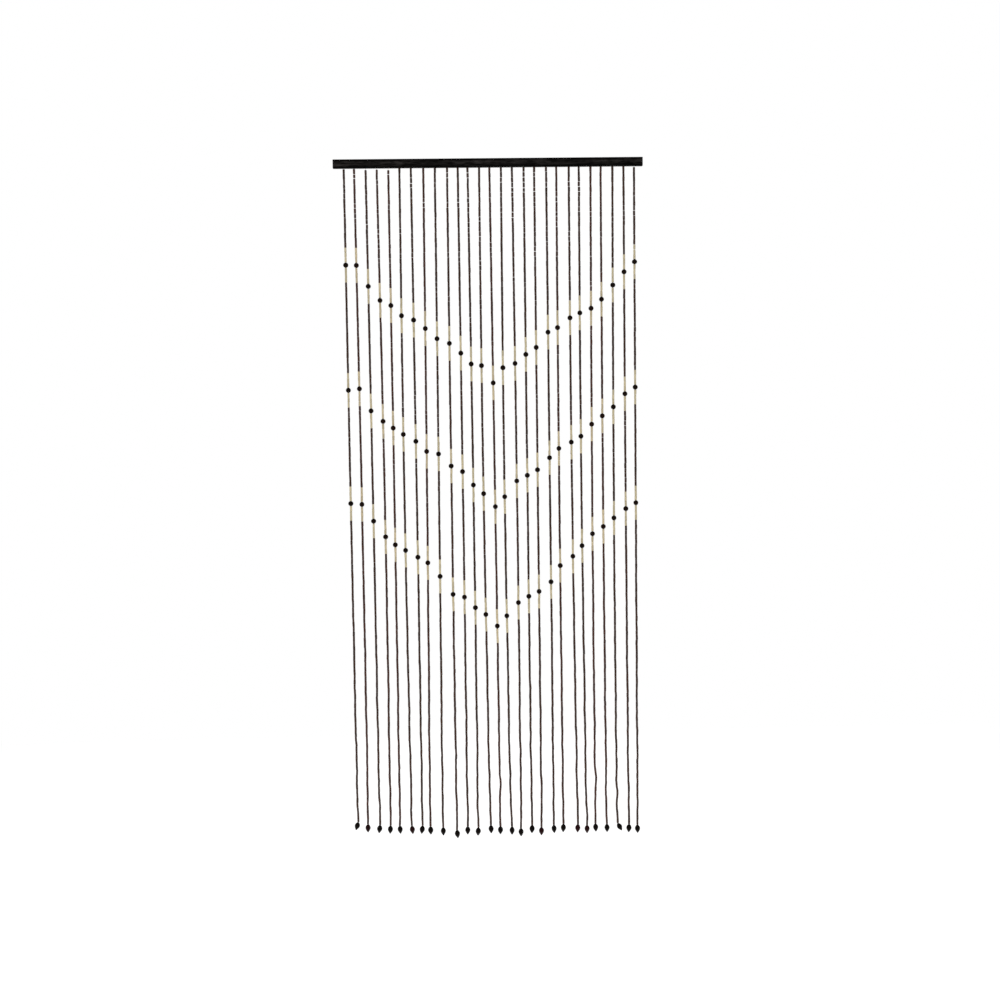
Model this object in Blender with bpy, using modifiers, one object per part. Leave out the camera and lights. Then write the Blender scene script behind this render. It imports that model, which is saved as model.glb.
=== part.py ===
"""Bead curtain on a flat wooden rail.

Twenty-seven strings of thin tube beads hang from a groove in the rail's underside. Each string
has three round beads, which together draw three V rows, and ends in a pointed drop bead.

The origin is at the middle of the rail's top face. X runs along the rail, Y is the thickness
of the curtain and Z points up. Sizes are in metres.
"""

import math
from typing import NamedTuple

import bmesh
import bpy
from mathutils import Vector

# Rail
RAIL_LENGTH = 0.900
RAIL_THICKNESS = 0.015
RAIL_HEIGHT = 0.025
RAIL_ROUNDING = 0.0012
ROUNDING_STEPS = 2

# Groove in the rail's underside, and the strip in it that holds the strings
FIT_GAP = 0.0003
GROOVE_LENGTH = 0.884
GROOVE_WIDTH = 0.008
GROOVE_DEPTH = 0.005
STRIP_LENGTH = GROOVE_LENGTH - 2 * FIT_GAP
STRIP_WIDTH = GROOVE_WIDTH - 2 * FIT_GAP
STRIP_HEIGHT = GROOVE_DEPTH - FIT_GAP

# Strings
STRING_SPACING = 0.0325
ROW_SHIFT = 0.0038
STRING_RADIUS = 0.0033
BARE_THREAD = 0.002
BALL_RADIUS = 0.0075
BAND_LENGTH = 0.043

# How far the strings wander: nearly straight at the top, looser towards the floor
WAVE_HEIGHT = 0.0008
WAVE_LENGTH = 0.280
WAVE_SPREAD = 0.080
WAVE_POWER = 2.5
QUICK_LENGTH = 0.5
QUICK_HEIGHT = 0.6
HANGING_LENGTH = 1.95
CURL_LENGTH = 0.120

# Points along a string: far apart where it is straight, closer where it waves
STRAIGHT_LENGTH = 1.15
STRAIGHT_STEP = 0.165
WAVY_STEP = 0.060

# Drop bead, turned about Z: height below its top as a share of its length, and radius
DROP_LENGTH = 0.025
DROP_SIDES = 8
NECK_RADIUS = 0.0020
DROP_PROFILE = (
    (0.00, NECK_RADIUS),
    (0.13, 0.0046),
    (0.29, 0.0071),
    (0.45, 0.0077),
    (0.62, 0.0064),
    (0.82, 0.0033),
    (1.00, 0.0006),
)


class String(NamedTuple):
    """One string: its four stretches of dark tube beads, and how it hangs.

    The stretches are in millimetres from the rail down, with a ball between two pale bands after
    each of the first three. The root, the bow and the foot are sideways shifts in millimetres, at
    the rail, half-way and at the end, and the curl is how far the last length bends away from
    them. The tilt of the drop bead is in degrees.
    """

    first: int
    second: int
    third: int
    fourth: int
    root: float
    bow: float
    foot: float
    curl: float
    tilt: int


# first, second, third, fourth, root, bow, foot, curl, tilt: a row for each string, from the left
STRINGS = (
    String(225, 262, 231, 902, 0.0, -0.5, 1.0, 2.0, 18),
    String(226, 257, 238, 906, -3.0, 2.0, -0.5, -2.0, 1),
    String(287, 261, 223, 859, -2.0, 1.0, 1.0, 2.0, 9),
    String(328, 251, 239, 815, -2.5, 3.5, 0.5, 1.0, 4),
    String(343, 256, 243, 792, -1.5, 1.0, -3.5, -0.5, -5),
    String(373, 245, 241, 776, -1.5, -3.5, -0.5, -0.5, -7),
    String(386, 253, 241, 755, -1.0, 0.5, -1.5, 0.0, 9),
    String(411, 258, 228, 741, 2.5, 1.5, -11.5, 1.5, -2),
    String(441, 236, 261, 704, 3.5, 1.0, -6.0, 1.5, -1),
    String(455, 258, 279, 659, 6.5, -1.0, 4.0, 0.0, -6),
    String(484, 246, 271, 640, 5.0, 1.0, 3.5, 0.5, 1),
    String(516, 254, 263, 612, 1.0, 2.0, 2.5, 1.0, 4),
    String(521, 275, 258, 585, 2.0, -4.0, 8.0, 0.0, -2),
    String(572, 263, 254, 553, -0.5, 0.5, 4.5, -0.5, 1),
    String(528, 278, 253, 586, 0.5, -4.5, 5.0, 1.0, 1),
    String(516, 244, 260, 630, 0.0, 1.5, 1.5, 0.0, -1),
    String(490, 254, 258, 639, 1.5, -0.5, 1.0, 2.0, 3),
    String(470, 258, 260, 660, -0.5, 0.0, -2.0, -0.5, 1),
    String(426, 267, 267, 682, 2.0, 0.0, 2.5, 0.0, -3),
    String(413, 253, 246, 728, -1.0, -1.5, -1.5, 0.5, 4),
    String(385, 263, 237, 757, 3.0, -3.5, 9.0, 0.0, 4),
    String(371, 260, 223, 791, 0.0, -4.0, 4.0, 0.5, 1),
    String(358, 238, 223, 822, 1.5, -2.5, -2.5, -1.0, -3),
    String(332, 240, 226, 845, -1.5, -1.5, -2.0, 0.5, -1),
    String(291, 255, 227, 868, 0.5, -2.5, -3.0, 1.5, -30),
    String(253, 255, 238, 899, 0.5, -1.5, 0.0, 0.5, 4),
    String(224, 265, 240, 919, -1.5, 0.0, -6.0, 0.5, -1),
)

MILLIMETRE = 0.001

# Colours, as linear red, green, blue and alpha
RAIL_BLACK = (0.013, 0.012, 0.012, 1.0)
BEAD_BROWN = (0.045, 0.032, 0.027, 1.0)
DROP_BROWN = (0.038, 0.026, 0.022, 1.0)


def clear_scene():
    """Remove every object of the open file."""
    for obj in list(bpy.data.objects):
        bpy.data.objects.remove(obj)


def make_collection(name):
    """Add a collection to the scene."""
    collection = bpy.data.collections.new(name)
    bpy.context.scene.collection.children.link(collection)
    return collection


def make_material(name, colour, roughness):
    """Make a Principled material."""
    material = bpy.data.materials.new(name)
    material.use_nodes = True
    shader = material.node_tree.nodes["Principled BSDF"]
    shader.inputs["Base Color"].default_value = colour
    shader.inputs["Roughness"].default_value = roughness
    return material


def make_box(name, collection, size, centre):
    """Make a box of the given size, with its scale applied."""
    bpy.ops.mesh.primitive_cube_add(size=1.0, location=centre)
    box = bpy.context.object
    box.name = name
    box.data.name = name
    box.data.transform(((size[0], 0, 0, 0), (0, size[1], 0, 0), (0, 0, size[2], 0), (0, 0, 0, 1)))
    for holder in list(box.users_collection):
        holder.objects.unlink(box)
    collection.objects.link(box)
    return box


def hide_cutter(obj):
    """Mark an object as a tool for a Boolean, not a piece of the curtain."""
    obj.hide_render = True
    obj.display_type = "WIRE"


def add_boolean(obj, other, operation):
    """Cut or join an object with another one."""
    boolean = obj.modifiers.new(operation.title(), "BOOLEAN")
    boolean.operation = operation
    boolean.solver = "EXACT"
    boolean.object = other


def make_rail(parts, cutters, material):
    """The flat batten: soft edges and a closed-ended groove in its underside."""
    rail = make_box(
        "rail",
        parts,
        (RAIL_LENGTH, RAIL_THICKNESS, RAIL_HEIGHT),
        (0.0, 0.0, -RAIL_HEIGHT / 2),
    )
    bevel = rail.modifiers.new("Soft edges", "BEVEL")
    bevel.width = RAIL_ROUNDING
    bevel.segments = ROUNDING_STEPS
    groove = make_box(
        "groove_cutter",
        cutters,
        (GROOVE_LENGTH, GROOVE_WIDTH, 2 * GROOVE_DEPTH),
        (0.0, 0.0, -RAIL_HEIGHT),
    )
    hide_cutter(groove)
    add_boolean(rail, groove, "DIFFERENCE")
    rail.data.materials.append(material)
    return rail


def ball_depths(string):
    """Depths of the three ball centres below the rail's underside."""
    depths = []
    depth = BARE_THREAD
    for dark in (string.first, string.second, string.third):
        depth += dark * MILLIMETRE + BAND_LENGTH + BALL_RADIUS
        depths.append(depth)
        depth += BALL_RADIUS + BAND_LENGTH
    return depths


def string_length(string):
    """Length from the rail's underside to the end of the last tube bead."""
    return ball_depths(string)[-1] + BALL_RADIUS + BAND_LENGTH + string.fourth * MILLIMETRE


def wave(depth, seed):
    """Small sideways wander of a string, with a wave length of its own."""
    share = max(depth, 0.0) / HANGING_LENGTH
    length = WAVE_LENGTH + WAVE_SPREAD * math.sin(seed * 1.7)
    slow = math.sin(math.tau * depth / length + seed * 2.4)
    quick = QUICK_HEIGHT * math.sin(math.tau * depth / (QUICK_LENGTH * length) + seed * 4.1)
    return WAVE_HEIGHT * share**WAVE_POWER * (slow + quick)


def string_point(index, depth):
    """Where a string passes at a depth below the rail's underside."""
    string = STRINGS[index]
    middle = (len(STRINGS) - 1) / 2
    share = depth / HANGING_LENGTH
    lean = string.root + (string.foot - string.root) * share
    curled = max(0.0, 1.0 - (string_length(string) - depth) / CURL_LENGTH)
    shift = (lean + string.bow * math.sin(math.pi * share) + string.curl * curled**2) * MILLIMETRE
    across = ROW_SHIFT + (index - middle) * STRING_SPACING + shift + wave(depth, index + 1)
    return Vector((across, wave(depth, index + 40), -RAIL_HEIGHT - depth))


def string_stations(index):
    """Depths and radii along a string: its root in the strip, the waves and the three balls."""
    string = STRINGS[index]
    length = string_length(string)
    balls = ball_depths(string)
    stations = [(-STRIP_HEIGHT / 2, STRING_RADIUS)]
    depth = 0.5 * STRAIGHT_STEP
    while depth < length - 0.5 * WAVY_STEP:
        if min(abs(depth - ball) for ball in balls) > 2 * BALL_RADIUS:
            stations.append((depth, STRING_RADIUS))
        depth += STRAIGHT_STEP if depth < STRAIGHT_LENGTH else WAVY_STEP
    for ball in balls:
        for angle in (-90.0, -42.0, 0.0, 42.0, 90.0):
            offset = BALL_RADIUS * math.sin(math.radians(angle))
            radius = max(STRING_RADIUS, BALL_RADIUS * math.cos(math.radians(angle)))
            stations.append((ball + offset, radius))
    stations.append((length, STRING_RADIUS))
    return sorted(stations)


def add_string(curve, index):
    """Add one string to the curve, as straight runs between its stations."""
    stations = string_stations(index)
    spline = curve.splines.new("POLY")
    spline.points.add(len(stations) - 1)
    for point, (depth, radius) in zip(spline.points, stations):
        point.co = (*string_point(index, depth), 1.0)
        point.radius = radius / STRING_RADIUS


def make_strings(cutters):
    """All the strings as one mesh of four-sided tubes with welded ends."""
    curve = bpy.data.curves.new("strings", "CURVE")
    curve.dimensions = "3D"
    curve.bevel_depth = STRING_RADIUS
    curve.bevel_resolution = 0
    curve.use_fill_caps = True
    for index in range(len(STRINGS)):
        add_string(curve, index)
    holder = bpy.data.objects.new("strings", curve)
    cutters.objects.link(holder)
    bpy.context.view_layer.update()
    evaluated = holder.evaluated_get(bpy.context.evaluated_depsgraph_get())
    mesh = bpy.data.meshes.new_from_object(evaluated)
    weld = bmesh.new()
    weld.from_mesh(mesh)
    bmesh.ops.remove_doubles(weld, verts=weld.verts, dist=0.00001)
    weld.to_mesh(mesh)
    weld.free()
    tubes = bpy.data.objects.new("string_tubes", mesh)
    tubes.matrix_world = holder.matrix_world
    cutters.objects.link(tubes)
    bpy.data.objects.remove(holder)
    hide_cutter(tubes)
    return tubes


def make_strands(parts, cutters, material):
    """The strip in the groove with every string fused to its underside."""
    strip = make_box(
        "strands",
        parts,
        (STRIP_LENGTH, STRIP_WIDTH, STRIP_HEIGHT),
        (0.0, 0.0, -RAIL_HEIGHT + STRIP_HEIGHT / 2),
    )
    add_boolean(strip, make_strings(cutters), "UNION")
    strip.data.materials.append(material)
    return strip


def make_drop_mesh(material):
    """Half outline of a drop bead, for the Screw modifier to turn about Z."""
    outline = [(0.0, 0.0)]
    outline += [(radius, -share * DROP_LENGTH) for share, radius in DROP_PROFILE]
    outline.append((0.0, -DROP_LENGTH))
    mesh = bpy.data.meshes.new("drop")
    edges = [(step, step + 1) for step in range(len(outline) - 1)]
    mesh.from_pydata([(x, 0.0, z) for x, z in outline], edges, [])
    mesh.materials.append(material)
    return mesh


def hang_drop(drop, index):
    """Place a drop bead just under the end of its string, turned as it hangs."""
    string = STRINGS[index]
    tilt = math.radians(string.tilt)
    drop.location = string_point(index, string_length(string))
    drop.location.z -= FIT_GAP + NECK_RADIUS * math.sin(abs(tilt))
    drop.rotation_euler = (0.0, tilt, 0.0)


def make_drops(parts, material):
    """One drop bead for each string."""
    mesh = make_drop_mesh(material)
    drops = []
    for index in range(len(STRINGS)):
        drop = bpy.data.objects.new(f"drop_{index + 1:02d}", mesh)
        parts.objects.link(drop)
        screw = drop.modifiers.new("Turning", "SCREW")
        screw.steps = DROP_SIDES
        screw.render_steps = DROP_SIDES
        screw.use_merge_vertices = True
        screw.merge_threshold = 0.00001
        hang_drop(drop, index)
        drops.append(drop)
    return drops


def main():
    """Build the curtain."""
    clear_scene()
    parts = make_collection("bead_curtain")
    cutters = make_collection("cutters")
    rail_wood = make_material("Black painted wood", RAIL_BLACK, 0.45)
    bead_wood = make_material("Dark tube beads", BEAD_BROWN, 0.40)
    drop_wood = make_material("Dark drop beads", DROP_BROWN, 0.35)
    hanger = bpy.data.objects.new("curtain_hanger", None)
    parts.objects.link(hanger)
    pieces = [make_rail(parts, cutters, rail_wood), make_strands(parts, cutters, bead_wood)]
    pieces += make_drops(parts, drop_wood)
    for piece in pieces:
        piece.parent = hanger


main()
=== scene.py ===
"""Looks of a bead curtain: threaded wooden beads under a black batten, in a white studio.

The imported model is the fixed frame. Every string's line, its three round beads and its end are
read from the frame's strands, and each drop bead's place from its own node. Beads are strung
along those lines by Geometry Nodes. Sizes are in metres.
"""

import logging
import math
from dataclasses import asdict, dataclass, field, replace
from enum import Enum
from typing import Any

import bmesh
import bpy
import numpy as np
from mathutils import Matrix, Vector


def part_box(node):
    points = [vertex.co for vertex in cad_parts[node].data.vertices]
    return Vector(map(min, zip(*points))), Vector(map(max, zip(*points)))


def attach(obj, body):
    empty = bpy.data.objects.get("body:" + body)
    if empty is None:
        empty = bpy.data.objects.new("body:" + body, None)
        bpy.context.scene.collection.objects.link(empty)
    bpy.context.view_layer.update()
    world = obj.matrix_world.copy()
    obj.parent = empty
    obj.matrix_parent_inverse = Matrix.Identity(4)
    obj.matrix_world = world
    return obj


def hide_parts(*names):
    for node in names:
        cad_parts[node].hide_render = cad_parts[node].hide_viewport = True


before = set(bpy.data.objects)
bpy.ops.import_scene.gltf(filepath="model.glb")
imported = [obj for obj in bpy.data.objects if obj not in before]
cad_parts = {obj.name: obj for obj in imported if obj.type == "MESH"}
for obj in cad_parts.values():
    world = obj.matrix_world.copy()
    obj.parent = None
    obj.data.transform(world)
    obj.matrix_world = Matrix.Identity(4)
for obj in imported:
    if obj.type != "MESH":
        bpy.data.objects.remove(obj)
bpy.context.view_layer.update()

LOG = logging.getLogger("bead_curtain")

BODY = "root"

Colour = tuple[float, float, float]
Place = tuple[float, float, float]
Range = tuple[float, float]
Outline = list[tuple[float, float]]
Inputs = dict[str | int, Any]

FULL: Range = (0.0, 1.0)
NOISE_MIDDLE: Range = (0.3, 0.7)


class Slot(Enum):
    """Material slots of the record."""

    RAIL = "rail_wood"
    STRANDS = "strand_beads"
    DROPS = "drop_beads"


class Wood(Enum):
    """The two woods on a string."""

    DARK = "dark"
    PALE = "pale"


def opaque(colour: Colour) -> tuple[float, float, float, float]:
    """Return a colour with full alpha."""
    return (*colour, 1.0)


class NodeGraph:
    """A node tree that is built one node at a time."""

    def __init__(self, tree: bpy.types.NodeTree) -> None:
        """Start in a tree.

        Args:
            tree: the tree to build in.
        """
        self.nodes = tree.nodes
        self.links = tree.links

    def add(self, kind: str, inputs: Inputs | None = None, **settings: Any) -> bpy.types.Node:
        """Add a node, with its settings made before its inputs are fed.

        Args:
            kind: the node's type.
            inputs: for each input, a socket to link from or a constant.
            settings: the node's own properties.

        Returns:
            The node.
        """
        node = self.nodes.new(kind)
        for name, value in settings.items():
            setattr(node, name, value)
        for key, value in (inputs or {}).items():
            self.feed(node.inputs[key], value)
        return node

    def first(self, kind: str, inputs: Inputs | None = None, **settings: Any) -> Any:
        """Add a node and return its first output."""
        return self.add(kind, inputs, **settings).outputs[0]

    def feed(self, socket: bpy.types.NodeSocket, value: Any) -> None:
        """Link a socket, or set its constant.

        Args:
            socket: the input to feed.
            value: a socket to link from, or a constant.
        """
        if isinstance(value, bpy.types.NodeSocket):
            self.links.new(value, socket)
        else:
            socket.default_value = value

    def math(self, operation: str, first: Any, second: Any = 0.0, third: Any = 0.0) -> Any:
        """Add a Math node and return its value."""
        return self.first("ShaderNodeMath", {0: first, 1: second, 2: third}, operation=operation)

    def vector(self, operation: str, first: Any, second: Any, third: Any = (0.0, 0.0, 0.0)) -> Any:
        """Add a Vector Math node and return its vector."""
        inputs = {0: first, 1: second, 2: third}
        return self.first("ShaderNodeVectorMath", inputs, operation=operation)

    def join(self, x: Any = 0.0, y: Any = 0.0, z: Any = 0.0) -> Any:
        """Make a vector of three values."""
        return self.first("ShaderNodeCombineXYZ", {"X": x, "Y": y, "Z": z})

    def split(self, vector: Any) -> Any:
        """Take a vector apart and return its X, Y and Z outputs."""
        return self.add("ShaderNodeSeparateXYZ", {0: vector}).outputs


@dataclass(frozen=True)
class Grain:
    """Noise over an object: how fine it is along each axis, its detail and its roughness."""

    scale: Place
    detail: float = 2.0
    roughness: float = 0.55


class ShaderGraph(NodeGraph):
    """A material's node tree, around its Principled shader."""

    def __init__(self, name: str) -> None:
        """Make a material that has only a Principled shader.

        Args:
            name: the material's name.
        """
        self.material = bpy.data.materials.new(name)
        self.material.use_nodes = True
        super().__init__(self.material.node_tree)

    def attribute(self, name: str, output: str) -> Any:
        """Read an attribute that the mesh carries."""
        return self.add("ShaderNodeAttribute", attribute_name=name).outputs[output]

    def place(self) -> Any:
        """A point's place on the object's own coordinates."""
        return self.add("ShaderNodeTexCoord").outputs["Object"]

    def noise(self, vector: Any, scale: float, detail: float, roughness: float) -> Any:
        """Add a noise and return its value."""
        inputs = {"Vector": vector, "Scale": scale, "Detail": detail, "Roughness": roughness}
        return self.first("ShaderNodeTexNoise", inputs)

    def grain(self, kind: Grain) -> Any:
        """Add noise on the object's coordinates, stretched as its grain says."""
        stretched = self.vector("MULTIPLY", self.place(), kind.scale)
        return self.noise(stretched, 1.0, kind.detail, kind.roughness)

    def spread(self, value: Any, source: Range, target: Range = FULL) -> Any:
        """Map a value from one range to another, clamped."""
        ends = dict(zip(("From Min", "From Max", "To Min", "To Max"), (*source, *target)))
        return self.first("ShaderNodeMapRange", {"Value": value, **ends})

    def mix(self, factor: Any, first: Any, second: Any, blend: str = "MIX") -> Any:
        """Mix two colours.

        Args:
            factor: how much of the second one there is.
            first: a socket or a colour.
            second: a socket or a colour.
            blend: the kind of mix.

        Returns:
            The mixed colour's socket.
        """
        colours = [opaque(part) if isinstance(part, tuple) else part for part in (first, second)]
        inputs = {0: factor, 6: colours[0], 7: colours[1]}
        return self.add("ShaderNodeMix", inputs, data_type="RGBA", blend_type=blend).outputs[2]

    def bump(self, height: Any, strength: float, depth: float) -> Any:
        """Turn a height into a normal."""
        return self.first("ShaderNodeBump", {"Height": height, "Strength": strength, "Distance": depth})

    def dress(self, inputs: Inputs) -> bpy.types.Material:
        """Feed the Principled shader.

        Args:
            inputs: for each of its inputs, a socket to link from or a constant.

        Returns:
            The finished material.
        """
        for name, value in inputs.items():
            self.feed(self.nodes["Principled BSDF"].inputs[name], value)
        return self.material


@dataclass(frozen=True)
class BeadFinish:
    """Stained or natural wood, with grain along each bead and lighter cut ends."""

    name: str
    ground: Colour
    streak: Colour
    warm: Colour
    cut_end: Colour
    half_length: float
    roughness: Range = (0.32, 0.46)
    tone: Range = (0.72, 1.30)
    warm_share: float = 0.55
    end_wear: float = 0.45
    wear_width: float = 0.0005
    raggedness: float = 0.0006
    gloss: float = 0.5
    across: float = 1100.0
    along: float = 130.0
    apart: Place = (61.0, 23.0, 37.0)
    grain_detail: float = 5.0
    grain_roughness: float = 0.62
    streaks: Range = (0.38, 0.66)
    fibre_scale: float = 3.4
    fibre_share: float = 0.5
    relief: float = 0.5
    grain_depth: float = 0.00012

    def make(self) -> bpy.types.Material:
        """Build the material.

        Returns:
            The wood, with its own grain and tone on each bead.
        """
        graph = ShaderGraph(self.name)
        place = graph.attribute("bead_place", "Vector")
        draw = graph.attribute("bead_draw", "Fac")
        redness = graph.attribute("redness", "Fac")
        stretched = graph.vector("MULTIPLY", place, (self.across, self.across, self.along))
        own_place = graph.vector("MULTIPLY_ADD", graph.join(draw, draw, draw), self.apart, stretched)
        grain = graph.noise(own_place, 1.0, self.grain_detail, self.grain_roughness)
        fibre = graph.noise(own_place, self.fibre_scale, Grain.detail, Grain.roughness)
        colour = graph.mix(graph.spread(grain, self.streaks), self.ground, self.streak)
        colour = graph.mix(graph.math("MULTIPLY", redness, self.warm_share), colour, self.warm)
        tone = graph.spread(draw, FULL, self.tone)
        shade = graph.first("ShaderNodeCombineColor", {0: tone, 1: tone, 2: tone})
        colour = graph.mix(1.0, colour, shade, "MULTIPLY")
        height = graph.math("MULTIPLY_ADD", fibre, self.fibre_share, grain)
        return graph.dress(
            {
                "Base Color": graph.mix(self.wear(graph, place, fibre), colour, self.cut_end),
                "Roughness": graph.spread(grain, NOISE_MIDDLE, self.roughness[::-1]),
                "Specular IOR Level": self.gloss,
                "Normal": graph.bump(height, self.relief, self.grain_depth),
            }
        )

    def wear(self, graph: ShaderGraph, place: Any, fibre: Any) -> Any:
        """How far the cut ends show through the stain.

        Args:
            graph: the material's graph.
            place: the point's place in its bead.
            fibre: fine noise that breaks the edge of the stain.

        Returns:
            A share from 0 on the side of the bead to end_wear on its ends.
        """
        height = graph.math("ABSOLUTE", graph.split(place)["Z"])
        ragged = graph.math("MULTIPLY_ADD", fibre, self.raggedness, height)
        edge = self.half_length + self.raggedness / 2
        return graph.spread(ragged, (edge - self.wear_width, edge), (0.0, self.end_wear))


@dataclass(frozen=True)
class PaintFinish:
    """Satin black paint on a planed batten, with the grain showing through and a painted sheen across
    each face.
    """

    name: str
    ground: Colour
    # The lighter colour of the painted sheen that lies away from each face's edges.
    bloom: Colour
    edge: Colour
    half_height: float
    half_thickness: float
    gloss: float = 0.02
    roughness: Range = (0.38, 0.58)
    grain: Grain = Grain((16.0, 620.0, 620.0), 6.0, 0.66)
    mottle: Grain = Grain((30.0, 150.0, 150.0), 5.0, 0.68)
    cloud: Grain = Grain((9.0, 30.0, 30.0))
    margin: Range = (0.0010, 0.0090)
    raggedness: float = 0.005
    worn_width: float = 0.0007
    relief: float = 0.45
    relief_depth: float = 0.0003

    def make(self) -> bpy.types.Material:
        """Build the material.

        Returns:
            The paint: darkest along its edges, with a painted sheen in soft patches between them.
        """
        graph = ShaderGraph(self.name)
        grain, mottle, cloud = (graph.grain(kind) for kind in (self.grain, self.mottle, self.cloud))
        inset = self.inset(graph)
        # Painted sheen: a lighter colour away from each face's edges, broken into soft patches by the
        # cloud, mottle and grain noise.
        centred = graph.math("SUBTRACT", inset, self.raggedness / 2)
        bloom = graph.spread(graph.math("MULTIPLY_ADD", mottle, self.raggedness, centred), self.margin)
        for noise, source, least in (
            (cloud, (0.38, 0.62), 0.35),
            (mottle, (0.42, 0.62), 0.15),
            (grain, (0.36, 0.64), 0.35),
        ):
            bloom = graph.math("MULTIPLY", bloom, graph.spread(noise, source, (least, 1.0)))
        colour = graph.mix(bloom, self.ground, self.bloom)
        worn = graph.spread(inset, (0.0, self.worn_width), (1.0, 0.0))
        rubbed = graph.math("MULTIPLY", worn, graph.spread(mottle, (0.58, 0.7), (0.0, 0.6)))
        height = graph.math("MULTIPLY_ADD", mottle, 0.4, grain)
        return graph.dress(
            {
                "Base Color": graph.mix(rubbed, colour, self.edge),
                "Roughness": graph.spread(grain, NOISE_MIDDLE, self.roughness[::-1]),
                "Specular IOR Level": self.gloss,
                "Normal": graph.bump(height, self.relief, self.relief_depth),
            }
        )

    def inset(self, graph: ShaderGraph) -> Any:
        """How far a point on a long face is from that face's edges.

        Args:
            graph: the material's graph, on a batten whose top is at height 0.

        Returns:
            The distance in metres.
        """
        axes = graph.split(graph.place())
        across = graph.math("ABSOLUTE", axes["Y"])
        down = graph.math("ABSOLUTE", graph.math("ADD", axes["Z"], self.half_height))
        from_front = graph.math("SUBTRACT", self.half_thickness, across)
        from_top = graph.math("SUBTRACT", self.half_height, down)
        return graph.math("MAXIMUM", from_front, from_top)


@dataclass(frozen=True)
class ThreadFinish:
    """Off-white nylon cord with a fine twist."""

    name: str
    ground: Colour
    # The darker colour is painted shade between the cord's strands.
    shade: Colour
    roughness: float = 0.42
    lay: Grain = Grain((900.0, 900.0, 2600.0))
    relief: float = 0.4
    lay_depth: float = 0.0001

    def make(self) -> bpy.types.Material:
        """Build the material.

        Returns:
            The nylon, with painted shade between its strands.
        """
        graph = ShaderGraph(self.name)
        lay = graph.grain(self.lay)
        return graph.dress(
            {
                # Painted shade: darker where the twist's bump is low, between the strands.
                "Base Color": graph.mix(graph.spread(lay, (0.35, 0.65)), self.shade, self.ground),
                "Roughness": self.roughness,
                "Subsurface Weight": 0.2,
                "Subsurface Scale": 0.001,
                "Normal": graph.bump(lay, self.relief, self.lay_depth),
            }
        )


@dataclass(frozen=True)
class FloorFinish:
    """Seamless white studio paper."""

    name: str = "White paper"
    ground: Colour = (0.93, 0.93, 0.93)
    shade: float = 0.99
    tooth: Grain = Grain((900.0, 900.0, 900.0))
    glow: float = 0.62

    def make(self) -> bpy.types.Material:
        """Build the material.

        Returns:
            The paper, with a faint tooth.
        """
        graph = ShaderGraph(self.name)
        shaded = tuple(self.shade * part for part in self.ground)
        return graph.dress(
            {
                "Base Color": graph.mix(graph.grain(self.tooth), self.ground, shaded),
                "Roughness": 0.9,
                "Emission Color": opaque(self.ground),
                "Emission Strength": self.glow,
            }
        )


def plain_mesh(name: str, solid: bmesh.types.BMesh) -> bpy.types.Mesh:
    """Keep an edit mesh as a named mesh.

    Args:
        name: the mesh's name.
        solid: the edit mesh, which is freed.

    Returns:
        The mesh.
    """
    mesh = bpy.data.meshes.new(name)
    solid.to_mesh(mesh)
    solid.free()
    return mesh


@dataclass
class TurnedForm:
    """A bead turned about Z, bored through or half-way."""

    name: str
    outline: Outline
    sides: int
    smooth_angle: float = 40.0

    def make(self) -> bpy.types.Object:
        """Spin the outline into a closed mesh that knows each point's place in the bead.

        Returns:
            An object that isn't shown: beads are copies of it.
        """
        form = bmesh.new()
        points = [form.verts.new((radius, 0.0, height)) for radius, height in self.outline]
        count = len(points)
        open_ended = self.outline[0][0] == 0.0
        last = count - 1 if open_ended else count
        edges = [form.edges.new((points[i], points[(i + 1) % count])) for i in range(last)]
        bmesh.ops.spin(
            form,
            geom=[*points, *edges],
            cent=(0.0, 0.0, 0.0),
            axis=(0.0, 0.0, 1.0),
            angle=math.tau,
            steps=self.sides,
        )
        bmesh.ops.remove_doubles(form, verts=form.verts, dist=1e-6)
        bmesh.ops.dissolve_degenerate(form, edges=form.edges, dist=1e-7)
        bmesh.ops.recalc_face_normals(form, faces=form.faces)
        mesh = plain_mesh(self.name, form)
        mesh.shade_smooth()
        mesh.set_sharp_from_angle(angle=math.radians(self.smooth_angle))
        place = mesh.attributes.new("bead_place", "FLOAT_VECTOR", "POINT")
        for index, vertex in enumerate(mesh.vertices):
            place.data[index].vector = vertex.co
        return bpy.data.objects.new(self.name, mesh)


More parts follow.
